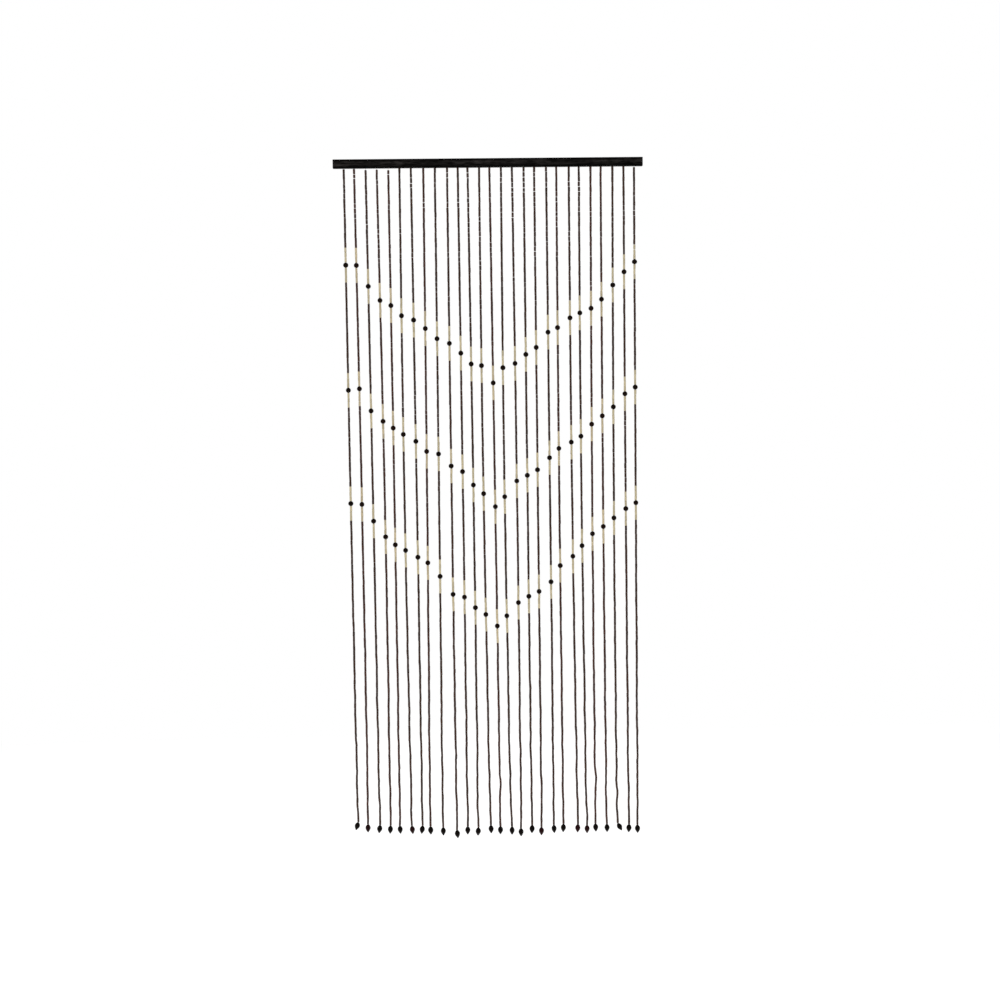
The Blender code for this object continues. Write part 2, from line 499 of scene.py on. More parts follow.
class TreeBuilder(NodeGraph):
    """A Geometry Nodes tree with named inputs."""

    def __init__(self, name: str) -> None:
        """Make a tree whose only input is the geometry.

        Args:
            name: the tree's name.
        """
        self.tree = bpy.data.node_groups.new(name, "GeometryNodeTree")
        super().__init__(self.tree)
        for side in ("INPUT", "OUTPUT"):
            self.tree.interface.new_socket("Geometry", in_out=side, socket_type="NodeSocketGeometry")
        self.entry = self.nodes.new("NodeGroupInput")
        self.exit = self.nodes.new("NodeGroupOutput")
        self.identifiers: dict[str, str] = {}

    def input(self, name: str, kind: str = "Float") -> bpy.types.NodeSocket:
        """Add a named input.

        Args:
            name: what the input is called in the modifier.
            kind: Float, Int, Object or Material.

        Returns:
            The input's socket inside the tree.
        """
        item = self.tree.interface.new_socket(name, in_out="INPUT", socket_type=f"NodeSocket{kind}")
        self.identifiers[name] = item.identifier
        return self.entry.outputs[name]

    def random(self, low: Any, high: Any, seed: Any, offset: int) -> Any:
        """Draw one number for each element.

        Args:
            low: the smallest value.
            high: the largest value.
            seed: the tree's seed.
            offset: what tells this draw from the tree's other ones.

        Returns:
            The draw's socket.
        """
        inputs = {2: low, 3: high, "Seed": self.math("ADD", seed, float(offset))}
        return self.add("FunctionNodeRandomValue", inputs, data_type="FLOAT").outputs[1]

    def either_way(self, most: Any, seed: Any, offset: int) -> Any:
        """Draw one number for each element, from minus the most to the most."""
        return self.random(self.math("MULTIPLY", most, -1.0), most, seed, offset)

    def attribute(self, name: str, kind: str) -> Any:
        """Read a named attribute of the geometry."""
        return self.first("GeometryNodeInputNamedAttribute", {"Name": name}, data_type=kind)

    def store(self, geometry: Any, name: str, value: Any, kind: str, domain: str) -> Any:
        """Keep a value on the geometry as a named attribute."""
        inputs = {"Geometry": geometry, "Name": name, "Value": value}
        return self.first("GeometryNodeStoreNamedAttribute", inputs, data_type=kind, domain=domain)

    def close(self, geometry: Any, finish: Any) -> None:
        """End the tree in realized geometry with its material.

        Args:
            geometry: the socket of what the tree has made.
            finish: the material's socket.
        """
        real = self.first("GeometryNodeRealizeInstances", {"Geometry": geometry})
        dressed = self.first("GeometryNodeSetMaterial", {"Geometry": real, "Material": finish})
        self.links.new(dressed, self.exit.inputs[0])

    def apply(self, piece: bpy.types.Object, values: dict[str, Any]) -> None:
        """Run the tree on a piece and keep the result as its plain mesh.

        Args:
            piece: the object whose mesh is the tree's geometry.
            values: a value for each named input.
        """
        modifier = piece.modifiers.new(self.tree.name, "NODES")
        modifier.node_group = self.tree
        for name, value in values.items():
            modifier[self.identifiers[name]] = value
        keep_result(piece)


def keep_result(piece: bpy.types.Object) -> None:
    """Replace a piece's mesh by what its modifiers make of it.

    Args:
        piece: the object, which has no modifiers left afterwards.
    """
    bpy.context.view_layer.update()
    depsgraph = bpy.context.evaluated_depsgraph_get()
    mesh = bpy.data.meshes.new_from_object(piece.evaluated_get(depsgraph), depsgraph=depsgraph)
    mesh.name = piece.name
    piece.modifiers.clear()
    piece.data = mesh


def show(name: str, mesh: bpy.types.Mesh) -> bpy.types.Object:
    """Put a mesh in the scene.

    Args:
        name: the object's name.
        mesh: its mesh, with its place in it.

    Returns:
        The object, at the origin.
    """
    piece = bpy.data.objects.new(name, mesh)
    bpy.context.scene.collection.objects.link(piece)
    return piece


def finish_piece(piece: bpy.types.Object, slot: Slot, *nodes: str) -> None:
    """Let a piece ride on the curtain's body, in place of the nodes that it stands for.

    Args:
        piece: the finished piece.
        slot: the record's slot that its finish comes from; not used.
        nodes: the nodes that it replaces.
    """
    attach(piece, BODY)
    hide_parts(*nodes)
    triangles = sum(len(face.vertices) - 2 for face in piece.data.polygons)
    LOG.info("%s: %d triangles", piece.name, triangles)


@dataclass
class Stretch:
    """A part of a string's line, how red its beads are and how loosely they sit at each point."""

    points: list[Vector]
    redness: float
    slack: list[float] = field(default_factory=list)


def line_mesh(name: str, stretches: list[Stretch]) -> bpy.types.Mesh:
    """Make a mesh of open lines, one for each stretch.

    Args:
        name: the mesh's name.
        stretches: the lines, from the top down.

    Returns:
        A mesh with no faces that carries redness and slack on its points.
    """
    points: list[Vector] = []
    edges: list[tuple[int, int]] = []
    values: dict[str, list[float]] = {"redness": [], "slack": []}
    for stretch in stretches:
        first = len(points)
        points += stretch.points
        edges += [(first + step, first + step + 1) for step in range(len(stretch.points) - 1)]
        values["redness"] += [stretch.redness] * len(stretch.points)
        values["slack"] += stretch.slack or [1.0] * len(stretch.points)
    mesh = bpy.data.meshes.new(name)
    mesh.from_pydata(points, edges, [])
    for attribute, numbers in values.items():
        mesh.attributes.new(attribute, "FLOAT", "POINT").data.foreach_set("value", numbers)
    return mesh


@dataclass(frozen=True)
class Wobble:
    """Small kinks from bead to bead, which grow towards a string's free end."""

    size: float = 0.00055
    length: float = 0.071
    quick_length: float = 0.031
    quick_share: float = 0.7
    power: float = 2.2
    still_end: float = 0.045

    def at(self, depth: float, whole: float, draw: float) -> Vector:
        """How far a point is off the string's smooth line.

        Args:
            depth: distance below the rail.
            whole: the string's length.
            draw: the string's own draw, which sets where its kinks fall.

        Returns:
            A level shift, nothing at the rail and at the end.
        """
        share = max(depth, 0.0) / whole
        fade = min(1.0, max(whole - depth, 0.0) / self.still_end)
        size = self.size * share**self.power * fade
        slow, quick = math.tau * depth / self.length, math.tau * depth / self.quick_length
        start = 40.0 * draw
        across = math.sin(slow + start) + self.quick_share * math.sin(quick + 2.3 * start)
        along = math.cos(slow + 1.7 * start) + self.quick_share * math.cos(quick + 3.1 * start)
        return Vector((size * across, size * along, 0.0))


@dataclass(frozen=True)
class Kink:
    """A larger bend near a string's free end, in metres above that end and sideways."""

    string: int
    height: float
    length: float
    shift: float

    def at(self, height: float) -> float:
        """Sideways shift of the string at a height above its end."""
        place = (height - self.height) / self.length
        return self.shift * math.cos(math.pi * place) ** 2 if abs(place) < 0.5 else 0.0


@dataclass(frozen=True)
class Looseness:
    """How much room the beads have: most under the rail, little further down."""

    most: float = 1.35
    least: float = 0.3
    reach: float = 0.43

    def at(self, depth: float) -> float:
        """Slack at a distance below the rail."""
        return self.least + (self.most - self.least) * max(0.0, 1.0 - depth / self.reach)


@dataclass
class StringLine:
    """One string as the frame has it: its line, its three balls and its end."""

    centres: np.ndarray
    balls: list[float]
    draw: float
    top: float
    redness: float
    kinks: tuple[Kink, ...] = ()
    bare: float = 0.0006
    wobble: Wobble = Wobble()
    looseness: Looseness = Looseness()

    @property
    def end(self) -> float:
        """Height of the string's lower end."""
        return float(self.centres[-1, 2])

    def point(self, height: float) -> Vector:
        """Where the string passes at a height: its smooth line, its wobble and its kinks."""
        wobble = self.wobble.at(self.top - height, self.top - self.end, self.draw)
        bend = sum(kink.at(height - self.end) for kink in self.kinks)
        return self.smooth(height) + wobble + Vector((bend, 0.0, 0.0))

    def smooth(self, height: float) -> Vector:
        """Where a smooth curve through the string's centres passes.

        Args:
            height: a Z below the rail.

        Returns:
            The point on the curve.
        """
        heights = self.centres[:, 2]
        after = int(np.clip(np.searchsorted(-heights, -height), 1, len(heights) - 1))
        before = after - 1
        span = heights[after] - heights[before]
        share = (height - heights[before]) / span
        start, stop = self.centres[before, :2], self.centres[after, :2]
        slope_in, slope_out = self.slope(before) * span, self.slope(after) * span
        if share < 0.0:
            across = start + slope_in * share
            return Vector((across[0], across[1], height))
        square, cube = share**2, share**3
        across = (
            (2 * cube - 3 * square + 1) * start
            + (cube - 2 * square + share) * slope_in
            + (3 * square - 2 * cube) * stop
            + (cube - square) * slope_out
        )
        return Vector((across[0], across[1], height))

    def slope(self, index: int) -> np.ndarray:
        """How the line leans at one of its centres.

        Args:
            index: the centre's place from the top.

        Returns:
            Metres across for each metre of height, in X and Y.
        """
        low, high = max(index - 1, 0), min(index + 1, len(self.centres) - 1)
        rise = self.centres[high, 2] - self.centres[low, 2]
        return (self.centres[high, :2] - self.centres[low, :2]) / rise

    def stretch(self, top: float, bottom: float, step: float = 0.012) -> Stretch:
        """Part of the line between two heights.

        Args:
            top: the upper height.
            bottom: the lower height.
            step: distance between the part's points.

        Returns:
            The part, with the string's own redness and its slack by depth.
        """
        count = max(1, round((top - bottom) / step))
        heights = [top + (bottom - top) * place / count for place in range(count + 1)]
        slack = [self.looseness.at(self.top - height) for height in heights]
        return Stretch([self.point(height) for height in heights], self.redness, slack)


@dataclass
class StringReader:
    """Reads the strings' lines from the frame's strands.

    Strings are numbered from the left, from 0. red_strings have the redder stain, and
    bare_threads gives the length of thread that shows between the rail and the first bead.
    """

    node: str = "strands"
    rail: str = "rail"
    corners: int = 4
    ball_ring: float = 0.0065
    red_strings: tuple[int, ...] = (1, 3, 4, 7, 13, 19, 22, 23)
    bare_threads: tuple[tuple[int, float], ...] = (
        (0, 0.0020),
        (1, 0.0018),
        (2, 0.0050),
        (3, 0.0042),
        (4, 0.0046),
        (7, 0.0015),
        (26, 0.0034),
    )
    kinks: tuple[Kink, ...] = (
        Kink(string=11, height=0.072, length=0.070, shift=-0.0014),
        Kink(string=12, height=0.235, length=0.200, shift=-0.0022),
        Kink(string=13, height=0.130, length=0.060, shift=0.0014),
        Kink(string=14, height=0.250, length=0.260, shift=-0.0021),
        Kink(string=18, height=0.250, length=0.200, shift=-0.0017),
        Kink(string=19, height=0.120, length=0.110, shift=-0.0021),
        Kink(string=21, height=0.165, length=0.200, shift=-0.0020),
        Kink(string=21, height=0.030, length=0.055, shift=0.0015),
        Kink(string=22, height=0.138, length=0.075, shift=0.0040),
        Kink(string=24, height=0.093, length=0.060, shift=0.0028),
        Kink(string=24, height=0.046, length=0.045, shift=-0.0019),
    )

    def read(self) -> list[StringLine]:
        """Find every string below the rail.

        Returns:
            The strings from left to right.
        """
        solid = bmesh.new()
        solid.from_mesh(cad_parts[self.node].data)
        bmesh.ops.remove_doubles(solid, verts=solid.verts, dist=1e-5)
        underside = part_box(self.rail)[0].z - 1e-4
        backing = [vertex for vertex in solid.verts if vertex.co.z > underside]
        bmesh.ops.delete(solid, geom=backing, context="VERTS")
        groups = self.islands(solid)
        solid.free()
        groups.sort(key=lambda points: points[:, 0].mean())
        return [self.string(index, points) for index, points in enumerate(groups)]

    def islands(self, solid: bmesh.types.BMesh) -> list[np.ndarray]:
        """Find the separate strings.

        Args:
            solid: the strands without their backing.

        Returns:
            Each string's points, from the top down.
        """
        groups = []
        seen = set()
        for start in solid.verts:
            if start in seen:
                continue
            seen.add(start)
            found = [start]
            for vertex in found:
                for edge in vertex.link_edges:
                    other = edge.other_vert(vertex)
                    if other not in seen:
                        seen.add(other)
                        found.append(other)
            points = np.array([vertex.co for vertex in found], float)
            groups.append(points[np.argsort(-points[:, 2])])
        return groups

    def string(self, index: int, points: np.ndarray) -> StringLine:
        """Turn a string's rings of corners into its centres and ball heights.

        Args:
            index: the string's place from the left.
            points: its corners from the top down.

        Returns:
            The string's line.
        """
        rings = points.reshape(-1, self.corners, 3)
        centres = rings.mean(axis=1)
        radii = np.linalg.norm(rings - centres[:, None], axis=2).mean(axis=1)
        balls = [float(height) for height in centres[radii > self.ball_ring, 2]]
        draw = (0.37 + index * 0.618034) % 1.0
        redness = 0.75 + 0.25 * draw if index in self.red_strings else 0.45 * draw
        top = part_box(self.rail)[0].z
        kinks = tuple(kink for kink in self.kinks if kink.string == index)
        bare = dict(self.bare_threads).get(index, StringLine.bare)
        return StringLine(centres, balls, draw, top, redness, kinks, bare)


@dataclass
class Stringing:
    """The tree that strings copies of a bead along lines, and its sizes."""

    pitch: float = 0.0143
    length_spread: float = 0.0012
    smallest_gap: float = 0.0001
    largest_gap: float = 0.0025
    gap_power: float = 4.0
    thickness_spread: float = 0.06
    sideways_play: float = 0.00025
    tilt: float = math.radians(1.3)
    seed: int = 11

    def __post_init__(self) -> None:
        """Build the tree once."""
        self.builder = self.build_tree()

    def build_tree(self) -> TreeBuilder:
        """Lay bead after bead along each line of the geometry.

        Returns:
            The tree: it cuts each line into whole pitches and sets a bead on each.
        """
        tree = TreeBuilder("bead_stringing")
        form, form_length = tree.input("Bead form", "Object"), tree.input("Form length")
        pitch, uneven = tree.input("Pitch"), tree.input("Length spread")
        small, large = tree.input("Smallest gap"), tree.input("Largest gap")
        power, spread = tree.input("Gap power"), tree.input("Thickness spread")
        play, tilt = tree.input("Sideways play"), tree.input("Tilt")
        seed, finish = tree.input("Seed", "Int"), tree.input("Finish", "Material")
        curve = tree.first("GeometryNodeMeshToCurve", {"Mesh": tree.entry.outputs[0]})
        length = tree.first("GeometryNodeSplineLength")
        beads = tree.math("MAXIMUM", tree.math("ROUND", tree.math("DIVIDE", length, pitch)), 1.0)
        count = tree.math("ADD", beads, 1.0)
        steps = tree.first("GeometryNodeResampleCurve", {"Curve": curve, "Count": count})
        even = tree.first("GeometryNodeCurveToMesh", {"Curve": steps})
        joints = tree.math("SUBTRACT", tree.first("GeometryNodeInputMeshVertexNeighbors"), 1.0)
        slide = tree.math("MULTIPLY", tree.either_way(uneven, seed, 8), joints)
        rods = tree.first("GeometryNodeSetPosition", {"Geometry": even, "Offset": tree.join(z=slide)})
        ends = tree.add("GeometryNodeInputMeshEdgeVertices").outputs
        rise = tree.vector("SUBTRACT", ends["Position 1"], ends["Position 2"])
        facing = tree.math("SIGN", tree.split(rise)["Z"])
        upward = tree.first("ShaderNodeVectorMath", {0: rise, "Scale": facing}, operation="SCALE")
        marked = tree.store(rods, "upward", upward, "FLOAT_VECTOR", "EDGE")
        places = tree.first("GeometryNodeMeshToPoints", {"Mesh": marked}, mode="EDGES")
        axis = tree.attribute("upward", "FLOAT_VECTOR")
        room = tree.add("ShaderNodeVectorMath", {0: axis}, operation="LENGTH").outputs["Value"]
        draw = tree.math("POWER", tree.random(0.0, 1.0, seed, 0), power)
        widest = tree.first("ShaderNodeMapRange", {"Value": draw, "To Min": small, "To Max": large})
        gap = tree.math("MULTIPLY", widest, tree.attribute("slack", "FLOAT"))
        tall = tree.math("DIVIDE", tree.math("SUBTRACT", room, gap), form_length)
        thin = tree.random(tree.math("SUBTRACT", 1.0, spread), tree.math("ADD", 1.0, spread), seed, 1)
        turn = tree.random(0.0, math.tau, seed, 4)
        lean = tree.join(tree.either_way(tilt, seed, 2), tree.either_way(tilt, seed, 3), turn)
        upright = tree.first("FunctionNodeAlignRotationToVector", {"Vector": axis}, axis="Z")
        leaning = {"Rotation": upright, "Rotate By": tree.first("FunctionNodeEulerToRotation", {0: lean})}
        turned = tree.first("FunctionNodeRotateRotation", leaning, rotation_space="LOCAL")
        copied = {
            "Points": places,
            "Instance": tree.add("GeometryNodeObjectInfo", {"Object": form}).outputs["Geometry"],
            "Rotation": turned,
            "Scale": tree.join(thin, thin, tall),
        }
        strung = tree.first("GeometryNodeInstanceOnPoints", copied)
        shift = tree.join(tree.either_way(play, seed, 5), tree.either_way(play, seed, 6))
        loose = tree.first("GeometryNodeTranslateInstances", {"Instances": strung, "Translation": shift})
        drawn = tree.store(loose, "bead_draw", tree.random(0.0, 1.0, seed, 7), "FLOAT", "INSTANCE")
        tree.close(drawn, finish)
        return tree

    def string(
        self,
        name: str,
        stretches: list[Stretch],
        form: bpy.types.Object,
        finish: bpy.types.Material,
        **changes: Any,
    ) -> bpy.types.Object:
        """String one kind of bead along its stretches.

        Args:
            name: the piece's name.
            stretches: the lines that the beads fill.
            form: the bead that is copied, its height being the form's length.
            finish: the beads' material.
            changes: sizes of this stringing that differ, by field name.

        Returns:
            The piece, as a plain mesh.
        """
        piece = show(name, line_mesh(name, stretches))
        heights = [vertex.co.z for vertex in form.data.vertices]
        values = {"Bead form": form, "Form length": max(heights) - min(heights), "Finish": finish}
        for size, value in {**asdict(self), **changes}.items():
            values[size.replace("_", " ").capitalize()] = value
        self.builder.apply(piece, values)
        return piece


@dataclass
class TubeBeads:
    """The long beads: dark ones for most of each string, pale ones beside each ball.

    Each group is a piece: its name, its wood, its strings from the first to the one after the
    last, and its seed.
    """

    strings: list[StringLine]
    stringing: Stringing
    radius: float = 0.0033
    bore: float = 0.00075
    rim: float = 0.0028
    shoulder: float = 0.0004
    length: float = 0.0140
    sides: int = 8
    pale_count: int = 3
    ball_half: float = 0.0075
    groups: tuple[tuple[str, Wood, int, int, int], ...] = (
        ("dark_beads_left", Wood.DARK, 0, 9, 20),
        ("dark_beads_middle", Wood.DARK, 9, 18, 30),
        ("dark_beads_right", Wood.DARK, 18, 27, 40),
        ("pale_beads", Wood.PALE, 0, 27, 90),
    )

    def form(self) -> bpy.types.Object:
        """Turn one tube bead.

        Returns:
            A bored cylinder with rounded ends.
        """
        half = self.length / 2
        upper = [(self.bore, half), (self.rim, half), (self.radius, half - self.shoulder)]
        lower = [(radius, -height) for radius, height in reversed(upper)]
        return TurnedForm("tube_bead_form", upper + lower, self.sides).make()

    def stretches(self, line: StringLine, wood: Wood) -> list[Stretch]:
        """The parts of a string that one wood fills.

        Args:
            line: the string.
            wood: which tube beads.

        Returns:
            The stretches from the top down.
        """
        band = self.pale_count * self.stringing.pitch
        top = line.top - line.bare
        dark, pale = [], []
        for ball in line.balls:
            upper, lower = ball + self.ball_half, ball - self.ball_half
            dark.append(line.stretch(top, upper + band))
            pale += [line.stretch(upper + band, upper), line.stretch(lower, lower - band)]
            top = lower - band
        dark.append(line.stretch(top, line.end))
        return dark if wood is Wood.DARK else pale

    def build(self, finishes: dict[Wood, bpy.types.Material]) -> None:
        """String each group of tube beads as one piece.

        Args:
            finishes: the material of each wood.
        """
        form = self.form()
        for name, wood, first, last, seed in self.groups:
            strings = self.strings[first:last]
            lines = [part for line in strings for part in self.stretches(line, wood)]
            piece = self.stringing.string(name, lines, form, finishes[wood], seed=seed)
            finish_piece(piece, Slot.STRANDS, "strands")


@dataclass
class RoundBeads:
    """The balls that draw the three V rows."""

    strings: list[StringLine]
    stringing: Stringing
    radius: float = 0.0075
    bore: float = 0.0011
    sides: int = 20
    steps: int = 11

    def form(self) -> bpy.types.Object:
        """Turn one ball.

        Returns:
            A sphere that is bored through.
        """
        start = math.asin(self.bore / self.radius)
        angles = [start + (math.pi - 2 * start) * step / self.steps for step in range(self.steps + 1)]
        outline = [(self.radius * math.sin(angle), self.radius * math.cos(angle)) for angle in angles]
        return TurnedForm("round_bead_form", outline, self.sides, 60.0).make()

    def build(self, finish: bpy.types.Material) -> None:
        """Set one ball at each of the strings' ball heights.

        Args:
            finish: the balls' material.
        """
        lines = [
            line.stretch(ball + self.radius, ball - self.radius)
            for line in self.strings
            for ball in line.balls
        ]
        piece = self.stringing.string(
            "round_beads",
            lines,
            self.form(),
            finish,
            pitch=2 * self.radius,
            largest_gap=0.0005,
            thickness_spread=0.03,
            tilt=math.radians(6.0),
            seed=140,
        )
        finish_piece(piece, Slot.DROPS, "strands")


@dataclass
class DropBeads:
    """The pointed beads at the strings' ends, one for each drop node.

    The shape gives a radius at each share of the length from the top. red_drops are numbered
    from the left, from 0.
    """

    stringing: Stringing
    length: float = 0.025
    neck: float = 0.0021
    bore: float = 0.0008
    bore_depth: float = 0.006
    lip: float = 0.0002
    shoulder: float = 0.0003
    end_depth: float = 0.0003
    sides: int = 24
    red_drops: tuple[int, ...] = (1, 5, 17, 20, 21)
    shape: Outline = field(
        default_factory=lambda: [
            (0.04, 0.0029),
            (0.12, 0.0047),
            (0.21, 0.0062),
            (0.30, 0.0072),
            (0.39, 0.0077),
            (0.48, 0.0077),
            (0.57, 0.0071),
            (0.67, 0.0060),
            (0.77, 0.0045),
            (0.87, 0.0029),
            (0.95, 0.0015),
            (0.985, 0.0008),
        ]
    )

    def form(self) -> bpy.types.Object:
        """Turn one drop.

        Returns:
            A pointed bead with a blind bore in its neck for the thread's end.
        """
        half = self.length / 2
        outline = [(0.0, half - self.bore_depth), (self.bore, half - self.bore_depth)]
        outline += [(self.bore, half - self.lip), (0.5 * (self.bore + self.neck), half)]
        outline += [(self.neck, half - self.shoulder)]
        outline += [(radius, half - share * self.length) for share, radius in self.shape]
        outline.append((0.0, -half))
        return TurnedForm("drop_bead_form", outline, self.sides, 50.0).make()

    def axis(self, node: str) -> tuple[Vector, Vector]:
        """Top and tip of a drop node.

        Args:
            node: the node's name.

        Returns:
            The two ends of the axis that the drop is turned about.
        """
        points = np.array([vertex.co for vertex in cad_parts[node].data.vertices], float)
        points = np.unique(points.round(6), axis=0)
        middle = points.mean(axis=0)
        ends = []
        for side in (points[:, 2] > middle[2], points[:, 2] < middle[2]):
            half = points[side]
            reach = np.linalg.norm(half - middle, axis=1)
            ends.append(Vector(half[reach > reach.max() - self.end_depth].mean(axis=0)))
        return ends[0], ends[1]

    def build(self, finish: bpy.types.Material) -> list[tuple[Vector, Vector]]:
        """Hang a drop bead at each drop node.

        Args:
            finish: the drops' material.

        Returns:
            Each drop's top and tip, from left to right.
        """
        nodes = sorted(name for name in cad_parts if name.startswith("drop_"))
        axes = [self.axis(name) for name in nodes]
        lines = [Stretch([*ends], float(place in self.red_drops)) for place, ends in enumerate(axes)]
        piece = self.stringing.string(
            "drop_beads",
            lines,
            self.form(),
            finish,
            pitch=self.length,
            smallest_gap=0.0,
            largest_gap=0.0,
            thickness_spread=0.03,
            sideways_play=0.0,
            tilt=0.0,
            seed=170,
        )
        finish_piece(piece, Slot.DROPS, *nodes)
        return axes


@dataclass
class Threads:
    """The cords that the beads are strung on, seen at the rail and between beads."""

    strings: list[StringLine]
    thickness: float = 0.0010
    sides: int = 6
    step: float = 0.0145
    rise: float = 0.0022
    reach: float = 0.004

    def build_tree(self) -> TreeBuilder:
        """Sweep a round section along each line.

        Returns:
            The tree.
        """
        tree = TreeBuilder("thread_sweep")
        thickness, sides = tree.input("Thickness"), tree.input("Sides", "Int")
        step, finish = tree.input("Step"), tree.input("Finish", "Material")
        curve = tree.first("GeometryNodeMeshToCurve", {"Mesh": tree.entry.outputs[0]})
        even = tree.first("GeometryNodeResampleCurve", {"Curve": curve, "Length": step}, mode="LENGTH")
        circle = {"Resolution": sides, "Radius": tree.math("MULTIPLY", thickness, 0.5)}
        section = tree.first("GeometryNodeCurvePrimitiveCircle", circle)
        sweep = {"Curve": even, "Profile Curve": section, "Fill Caps": True}
        swept = tree.first("GeometryNodeCurveToMesh", sweep)
        tree.close(tree.first("GeometryNodeSetShadeSmooth", {"Geometry": swept}), finish)
        return tree

    def build(self, axes: list[tuple[Vector, Vector]], finish: bpy.types.Material) -> None:
        """Run a thread from the strip down every string into its drop bead.

        Args:
            axes: each drop bead's top and tip.
            finish: the thread's material.
        """
        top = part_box("rail")[0].z + self.rise
        lines = []
        for line, (neck, tip) in zip(self.strings, axes):
            inside = neck + (tip - neck).normalized() * self.reach
            lines.append(Stretch([*line.stretch(top, line.end).points, inside], line.redness))
        piece = show("threads", line_mesh("threads", lines))
        values = {"Thickness": self.thickness, "Sides": self.sides, "Step": self.step, "Finish": finish}
        self.build_tree().apply(piece, values)
        finish_piece(piece, Slot.STRANDS, "strands")


@dataclass(frozen=True)
class Groove:
    """The closed-ended groove in the rail's underside."""

    width: float = 0.008
    depth: float = 0.005
    end: float = 0.008


@dataclass
class Rail:
    """The black batten with a groove in its underside."""

    groove: Groove = Groove()
    rounding: float = 0.0012
    rounding_steps: int = 4
    smooth_angle: float = 30.0

    def box(self, name: str, low: Vector, high: Vector) -> bpy.types.Object:
        """Make a plain box.

        Args:
            name: the object's name.
            low: its lowest corner.
            high: its highest corner.

        Returns:
            The box, as an object at the origin.
        """
        solid = bmesh.new()
        size = high - low
        place = Matrix.Translation((low + high) / 2) @ Matrix.Diagonal((*size, 1.0))
        bmesh.ops.create_cube(solid, size=1.0, matrix=place)
        return show(name, plain_mesh(name, solid))

    def build(self, finish: bpy.types.Material) -> None:
        """Shape the batten in the rail node's box.

        Args:
            finish: the batten's paint.
        """
        low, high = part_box("rail")
        piece = self.box("rail_batten", low, high)
        groove = self.groove
        groove_low = Vector((low.x + groove.end, -groove.width / 2, low.z - groove.depth))
        groove_high = Vector((high.x - groove.end, groove.width / 2, low.z + groove.depth))
        cutter = self.box("rail_groove", groove_low, groove_high)
        bevel = piece.modifiers.new("Soft edges", "BEVEL")
        bevel.width = self.rounding
        bevel.segments = self.rounding_steps
        cut = piece.modifiers.new("Groove", "BOOLEAN")
        cut.operation = "DIFFERENCE"
        cut.object = cutter
        keep_result(piece)
        bpy.data.objects.remove(cutter)
        piece.data.shade_smooth()
        piece.data.set_sharp_from_angle(angle=math.radians(self.smooth_angle))
        piece.data.materials.clear()
        piece.data.materials.append(finish)
        finish_piece(piece, Slot.RAIL, "rail")


@dataclass
class ThreadStrip:
    """The strip in the groove, with a small hole for each thread."""

    strings: list[StringLine]
    fit: float = 0.0003
    hole_radius: float = 0.0009
    hole_depth: float = 0.0024

    def build_tree(self) -> TreeBuilder:
        """Bore a hole at each point of another object.

        Returns:
            The tree.
        """
        tree = TreeBuilder("thread_holes")
        marks, radius = tree.input("Hole places", "Object"), tree.input("Hole radius")
        depth, finish = tree.input("Hole depth"), tree.input("Finish", "Material")
        places = tree.add("GeometryNodeObjectInfo", {"Object": marks}).outputs["Geometry"]
        size = {"Vertices": 10, "Radius": radius, "Depth": tree.math("MULTIPLY", depth, 2.0)}
        drill = tree.first("GeometryNodeMeshCylinder", size)
        drills = tree.first("GeometryNodeInstanceOnPoints", {"Points": places, "Instance": drill})
        solids = {"Mesh 1": tree.entry.outputs[0], "Mesh 2": drills}
        tree.close(tree.first("GeometryNodeMeshBoolean", solids, operation="DIFFERENCE"), finish)
        return tree

    def build(self, rail: Rail, finish: bpy.types.Material) -> None:
        """Fit the strip in the rail's groove.

        Args:
            rail: makes the strip's box.
            finish: the rail's own paint.
        """
        low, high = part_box("rail")
        groove = rail.groove
        inset, top = groove.end + self.fit, low.z + groove.depth - self.fit
        strip_low = Vector((low.x + inset, self.fit - groove.width / 2, low.z))
        strip_high = Vector((high.x - inset, -strip_low.y, top))
        piece = rail.box("thread_strip", strip_low, strip_high)
        mesh = bpy.data.meshes.new("hole_places")
        mesh.from_pydata([line.point(low.z) for line in self.strings], [], [])
        marks = show("hole_places", mesh)
        values = {
            "Hole places": marks,
            "Hole radius": self.hole_radius,
            "Hole depth": self.hole_depth,
            "Finish": finish,
        }
        self.build_tree().apply(piece, values)
        bpy.data.objects.remove(marks)
        finish_piece(piece, Slot.RAIL, "strands")


@dataclass(frozen=True)
class Softbox:
    """A square area light that faces a point."""

    name: str
    place: Place
    target: Place
    size: float
    power: float

    def build(self) -> None:
        """Add the light, out of the camera's sight."""
        light = bpy.data.lights.new(self.name, "AREA")
        light.shape = "SQUARE"
        light.size = self.size
        light.energy = self.power
        lamp = bpy.data.objects.new(self.name, light)
        bpy.context.scene.collection.objects.link(lamp)
        lamp.location = self.place
        aim = Vector(self.target) - Vector(self.place)
        lamp.rotation_euler = aim.to_track_quat("-Z", "Y").to_euler()
        lamp.visible_camera = False


